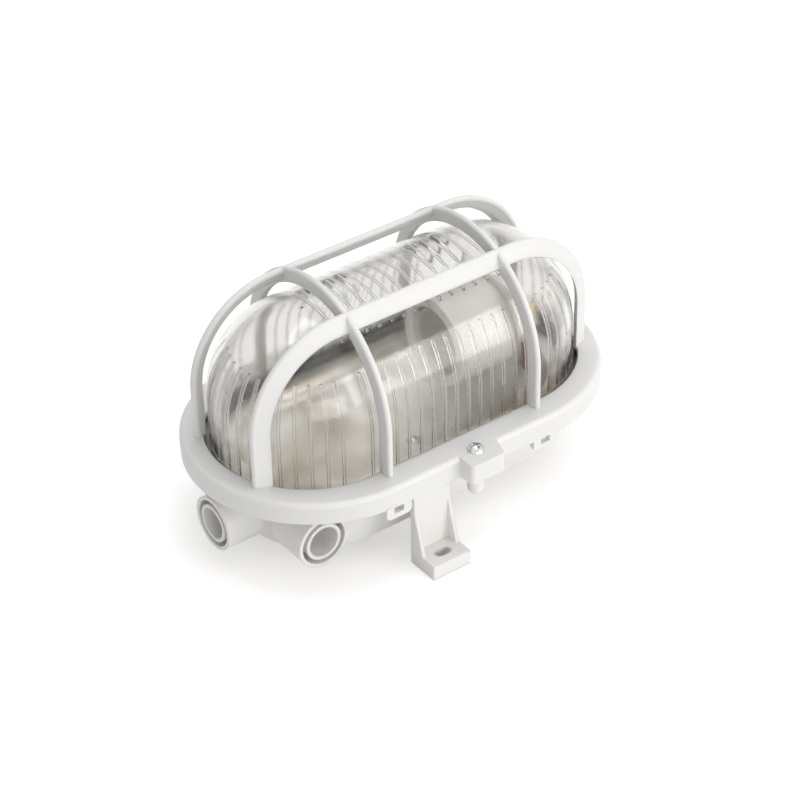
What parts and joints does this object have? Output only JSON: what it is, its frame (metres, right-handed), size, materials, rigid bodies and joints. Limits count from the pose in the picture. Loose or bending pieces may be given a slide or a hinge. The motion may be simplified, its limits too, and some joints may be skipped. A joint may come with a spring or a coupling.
{
  "type": "bulkhead light",
  "caption": "Oval bulkhead wall light: moulded base with slotted feet and cable entries, ribbed glass bowl, white guard cage, reflector and a screw lampholder.",
  "frame": {"origin": "on the wall plane, under the middle of the rim", "axes": "+X along the length, away from the end cable entry; +Y to the back long side; +Z away from the wall"},
  "size_m": [0.1906, 0.1318, 0.1141],
  "materials": {
    "guard_plastic": "fine matt moulded white",
    "base_plastic": "matt moulded warm white",
    "clear_glass": "clear pressed glass, smooth outside, ribbed inside",
    "reflector_metal": "bright rolled sheet",
    "gasket_rubber": "matt",
    "zinc_steel": "bright zinc plate",
    "porcelain": "glazed",
    "brass": "bare",
    "connector_plastic": "matt",
    "live_sleeve": "smooth",
    "neutral_sleeve": "smooth"
  },
  "bodies": {
    "base": {"base_housing": "base_plastic", "reflector": "reflector_metal", "reflector_screws": "zinc_steel", "lampholder_bracket": "zinc_steel", "bracket_screws": "zinc_steel", "lampholder_body": "porcelain", "lampholder_screws": "zinc_steel", "screw_shell": "zinc_steel", "centre_contact": "brass", "live_terminal": "brass", "neutral_terminal": "brass", "terminal_screws": "zinc_steel", "connector_block": "connector_plastic", "connector_tubes": "brass", "connector_screws": "zinc_steel", "connector_fixing_screw": "zinc_steel", "live_wire": "live_sleeve", "neutral_wire": "neutral_sleeve", "gasket": "gasket_rubber"},
    "cover": {"guard": "guard_plastic", "glass_bowl": "clear_glass", "cover_screws": "zinc_steel"}
  },
  "joints": [
    {"name": "cover_lift", "type": "slide", "parent": "base", "child": "cover", "axis": [0, 0, 1], "range_m": [0, 0.12]}
  ]
}
